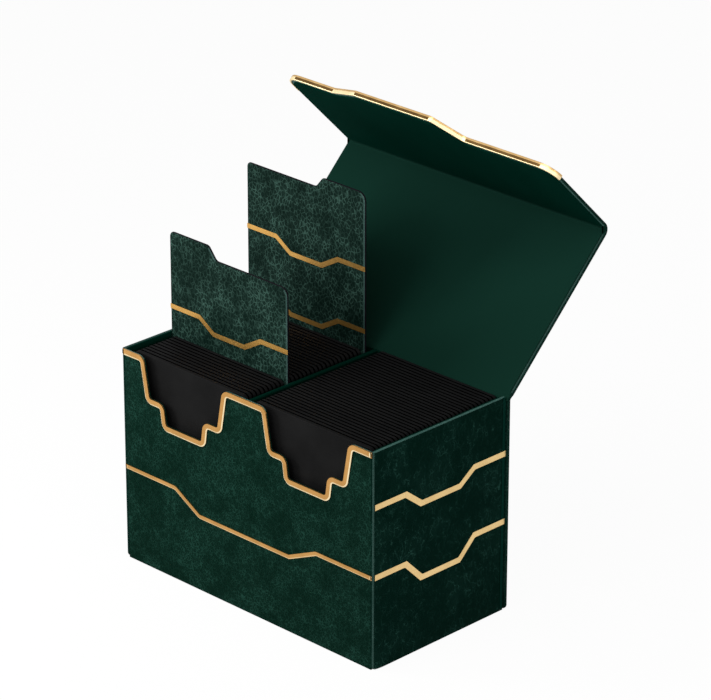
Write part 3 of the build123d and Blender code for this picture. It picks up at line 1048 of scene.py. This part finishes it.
def flap_board():
    """The flap's board with its stepped edge, soft at the sides."""
    piece = draw("flap_board", flap_corners(0, 0, FOLD_END, FLAP_CORNER), steps=8)
    thicken(0, BOARD)
    round_off(lambda edge: lies_on(2, 0, BOARD)(edge) and not lies_on(1, FOLD_END)(edge), 0.5)
    put(piece, FLAP, lid_leather, "flap", "wrapped_board", "flap_panel")
    # Painted highlight: the flap's turned margin beside its lining in pale leather
    inner_side = FLAP.to_3x3().col[2]
    paint_faces(piece, edge_highlight_leather, lambda face: face.normal.dot(inner_side) > 0.6)
    sink_discs(piece, MAGNET_REACH, BOARD - MAGNET_DEPTH, BOARD + 0.5, FLAP)


def flap_velour_sheet():
    """The flap's lining, set back along the gold edge."""
    outline = flap_corners(1.0, 2.2, FOLD_END, FLAP_CORNER - 1.0)
    piece = draw("flap_velour_sheet", outline, steps=8)
    thicken(BOARD - BEDDED, WALL)
    round_off(lambda edge: lies_on(2, WALL)(edge) and not lies_on(1, FOLD_END)(edge), 0.3)
    # The flap's lining takes the darker, shaded copy of the lid's lining
    put(piece, FLAP, shaded_flap_velour, "flap", "lining", "flap_lining")


def gold_channel():
    """The gold channel on the flap's stepped edge: a deep outer face and a narrow lip."""
    outer = flap_corners(-0.4, -0.4, CHANNEL_START, FLAP_CORNER + 0.4)
    for name, depth, low, high, rounded, radius, *stands_for in (
        ("gold_channel_face", 2.6, -0.4, 0.0, -0.4, 0.18, "flap_edge_trim"),
        ("gold_channel_lip", 0.5, 0.0, 2.0, 2.0, 0.3),
    ):
        inner = flap_corners(depth, depth, CHANNEL_START, FLAP_CORNER - depth)
        piece = draw(name, outer + inner[::-1], steps=8)
        thicken(low, high)
        round_off(lies_on(2, rounded), radius, steps=2)
        bpy.ops.mesh.select_all(action="SELECT")
        bpy.ops.mesh.bisect(plane_co=(0, 0, 0.5 * MM), plane_no=(0, 0, 1))
        put(piece, FLAP, channel_gold, "flap", "gold_trim", *stands_for, angle=30)
    lip = piece  # the last one drawn
    across, inwards = (FLAP.to_3x3().col[axis] for axis in (0, 2))
    level = FLAP.inverted()

    def end_face(face):
        return abs(face.normal.dot(inwards)) < 0.2 and (level @ face.center).z > 0.5 * MM

    def bright_face(face):
        turned = abs(face.normal.dot(across)) > 0.12
        return face.normal.dot(inwards) > 0.2 or end_face(face) and turned

    # Painted shade on the lip's end faces; painted highlights on its inner bevel and turned ends
    paint_faces(lip, channel_shade, end_face)
    paint_faces(lip, channel_glint, bright_face)


def hinge_leather():
    """The soft leather between back and lid, in two halves that each cross one crease."""
    rows = [
        ((BACK, CREASE), (ROW_BACK, CREASE)),
        ((39.35, 95.09), (37.10, 95.19)),
        ((39.68, 95.37), (37.55, 95.80)),
        ((40.0, 95.58), (38.05, 96.38)),
        ((40.40, 95.78), (38.62, 96.96)),
        ((40.70, 95.97), (39.05, 97.38)),
        ((40.941, 96.189), (39.385, 97.745)),
    ]
    for name, part, first, second, *stands_for in (
        ("back_hinge_leather", rows[:4], "case", "crease", "lid_crease_strip"),
        ("lid_hinge_leather", rows[3:], "crease", "lid"),
    ):
        outside = [row[0] for row in part]
        inside = [row[1] for row in part]
        piece = draw(name, [(y, z, 0) for y, z in outside + inside[::-1]])
        thicken(-COVER_HALF, COVER_HALF)
        rims = [{here, after} for side in (outside, inside) for here, after in zip(side, side[1:])]

        def end_edge(edge):
            ends = {(round(vert.co.x / MM, 3), round(vert.co.y / MM, 3)) for vert in edge.verts}
            return lies_on(2, -COVER_HALF, COVER_HALF)(edge) and ends in rims

        def inner_face(face):
            return face.normal.y < -0.4 and abs(face.normal.x) < 0.4

        round_off(end_edge, 0.5)
        put(piece, SIDEWAYS, lid_leather, None, "soft_leather", *stands_for, angle=60)
        paint_faces(piece, lid_velour, inner_face)
        start, end = (
            Vector((0, (out[0] + into[0]) / 2, (out[1] + into[1]) / 2)) * MM
            for out, into in (part[0], part[-1])
        )
        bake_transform(piece)


# ---------------------------------------------------------------------------------------
# Dividers and cards
# ---------------------------------------------------------------------------------------


def divider(place, tab, lift, y, tab_at_right):
    """A leather divider with a tab, painted edges, painted shade on the bevels beside them, and a
    border that falls away to them.
    """
    tab_width, tab_height, slant = tab
    foot = FLOOR + 0.3 + lift
    top = foot + DIVIDER_HEIGHT
    shoulder = top - tab_height
    tab_corner, plain_corner = (4.0, 2.2) if tab_at_right else (2.6, 4.0)
    corners = [
        (0, foot, 2.0), (0, top, tab_corner), (tab_width, top, 2.4),
        (tab_width + slant, shoulder, 2.4), (DIVIDER_WIDTH, shoulder, plain_corner),
        (DIVIDER_WIDTH, foot, 2.0),
    ]
    if tab_at_right:
        corners = [(DIVIDER_WIDTH - x, z, radius) for x, z, radius in corners]
    corners = [(DIVIDER_LEFT + x, z, radius) for x, z, radius in corners]
    piece = draw(place + "_divider_board", corners, steps=8)
    front, rear, fall = -y, -y - DIVIDER_THICK, 0.16
    thicken(rear, front)
    slope_border(front, 1.1, -fall)
    slope_border(rear, 1.1, fall)
    round_off(lies_on(2, front - fall, rear + fall), 0.30)
    body, node = place + "_divider", "divider_" + place
    put(piece, UPRIGHT, divider_leather, body, "wrapped_board", node, angle=50)
    # Edge paint on the cut edges, and painted shade on the rounded bevels next to them
    paint_faces(piece, divider_dark_edge_and_shade, lambda face: abs(face.normal.y) < 0.975)

    # Painted highlight on the border's right side, which faces the light
    def lit_border(face):
        return 0.975 < abs(face.normal.y) < 0.999 and face.normal.x > 0.08

    paint_faces(piece, divider_highlight_rim, lit_border)


def deck(name, row, first, last, count):
    """Sleeved cards in one deck: a single sleeve, then its copies one behind the other."""
    left, right, top = row - SLEEVE_HALF, row + SLEEVE_HALF, FLOOR + SLEEVE_HEIGHT
    pitch = (last - first + SLEEVE_GAP) / count
    thick = pitch - SLEEVE_GAP
    corners = [(left, FLOOR, 0), (left, top, 2.2), (right, top, 2.2), (right, FLOOR, 0)]
    piece = draw(name + "_sleeves", corners, steps=5)
    thicken(-first - thick, -first)
    round_off(lies_on(2, -first - thick, -first), 0.3, steps=2)
    bpy.ops.object.mode_set(mode="OBJECT")
    copies = piece.modifiers.new("deck", "ARRAY")
    copies.count = count
    copies.use_relative_offset = False
    copies.use_constant_offset = True
    copies.constant_offset_displace = (0, 0, -pitch * MM)
    bpy.ops.object.modifier_apply(modifier=copies.name)
    put(piece, UPRIGHT, black_sleeve, name, "card_sleeve", name, angle=50)
    # The sleeves' tops take the copy of the film toned for their light
    paint_faces(piece, lit_sleeve_top, lambda face: face.normal.z > 0.9)
    # Painted shade: grooves and faces behind the deck's first sleeve go near black, the last
    # sleeve's back too
    behind_first = (CARDS_START + 0.32) * MM

    def in_shaded_gap(face):
        above = abs(face.normal.y) > 0.3 and face.normal.z > -0.5
        return above and face.center.y > behind_first

    paint_faces(piece, sleeve_gap_shade, in_shaded_gap)


def pieces():
    """Everything that Blender shapes, in the order in which the box is made up."""
    front_wall()
    front_velour()
    side_wall(-1)
    side_wall(1)
    side_velour(-1)
    side_velour(1)
    back_cover()
    front_trims()
    lid_board()
    lid_velour_sheet()
    fold_piece("fold_leather", BOARD, 0.0, COVER_HALF, lid_leather, "soft_leather", "flap_fold")
    fold_piece("fold_velour", WALL, BOARD - BEDDED, LINING_HALF, lid_velour, "lining")
    flap_board()
    flap_velour_sheet()
    gold_channel()
    hinge_leather()
    divider("front", FRONT_TAB, FRONT_LIFT, FRONT_DIVIDER_Y, tab_at_right=False)
    divider("rear", REAR_TAB, REAR_LIFT, REAR_DIVIDER_Y, tab_at_right=True)
    before = FRONT_DIVIDER_Y - DIVIDER_PLAY
    behind = FRONT_DIVIDER_Y + DIVIDER_THICK + DIVIDER_PLAY
    deck("cards_left_front", -ROW_CENTRE, CARDS_START, before, count=10)
    deck("cards_left_rear", -ROW_CENTRE, behind, REAR_DIVIDER_Y - DIVIDER_PLAY, count=19)
    for number, place in enumerate(("front", "middle", "rear")):
        start = CARDS_START + number * DECK_SPACING
        deck("cards_right_" + place, ROW_CENTRE, start, start + DECK_DEPTH, count=11)


# ---------------------------------------------------------------------------------------
# Table and studio
# ---------------------------------------------------------------------------------------


def lay_table():
    """A pale table that keeps the box's shadow and reads white to the lens."""
    bpy.ops.mesh.primitive_plane_add(size=12.0, location=(0, 0, -0.2 * MM))
    table = bpy.context.object
    table.name = "table"
    finish = Finish("pale_table")
    place = finish.place()
    tone = finish.noise(place, 300.0)
    paint = finish.node(
        "ShaderNodeBsdfDiffuse",
        None,
        {"Color": finish.between(tone, (0.86, 0.86, 0.86), (0.90, 0.90, 0.90))},
    )
    glow = finish.node("ShaderNodeEmission", None, {"Color": (1, 1, 1, 1), "Strength": 1.0})
    seen = finish.node("ShaderNodeLightPath", out="Is Camera Ray")
    mirrored = finish.node("ShaderNodeLightPath", out="Is Glossy Ray")
    glowing = seen * 0.96 + mirrored * 0.8
    share = finish.node("ShaderNodeMixShader", None, {0: glowing, 1: paint, 2: glow})
    finish.node("ShaderNodeOutputMaterial", None, {"Surface": share})
    table.data.materials.append(finish.material)


def light_studio():
    """White surroundings, a key light from the front left, and softer front, top and right ones."""
    world = bpy.data.worlds.new("studio")
    bpy.context.scene.world = world
    world.use_nodes = True
    tree = world.node_tree
    tree.nodes.clear()
    paths = tree.nodes.new("ShaderNodeLightPath")
    bright = tree.nodes.new("ShaderNodeMath")
    bright.operation = "MAXIMUM"
    tree.links.new(paths.outputs["Is Camera Ray"], bright.inputs[0])
    tree.links.new(paths.outputs["Is Glossy Ray"], bright.inputs[1])
    level = tree.nodes.new("ShaderNodeMapRange")
    level.inputs["To Min"].default_value = 0.22
    level.inputs["To Max"].default_value = 1.0
    tree.links.new(bright.outputs[0], level.inputs["Value"])
    sky = tree.nodes.new("ShaderNodeBackground")
    tree.links.new(level.outputs[0], sky.inputs["Strength"])
    out = tree.nodes.new("ShaderNodeOutputWorld")
    tree.links.new(sky.outputs[0], out.inputs["Surface"])
    softbox("key_light", (-0.33, -0.33, 0.25), (0.0, 0.0, 0.09), 0.20, 1.8)
    softbox("front_light", (-0.15, -0.80, 0.84), (0.0, 0.0, 0.1), 0.5, 4.2)
    softbox("lid_light", (0.25, -0.40, 0.95), (0.0, 0.05, 0.12), 0.6, 3.0)
    softbox("right_light", (0.95, -0.20, 0.40), (0.0, 0.0, 0.08), 0.4, 2.6)


bpy.context.scene.view_settings.view_transform = "Standard"
bpy.ops.object.select_all(action="DESELECT")
set_camera()
lay_table()
light_studio()
pieces()
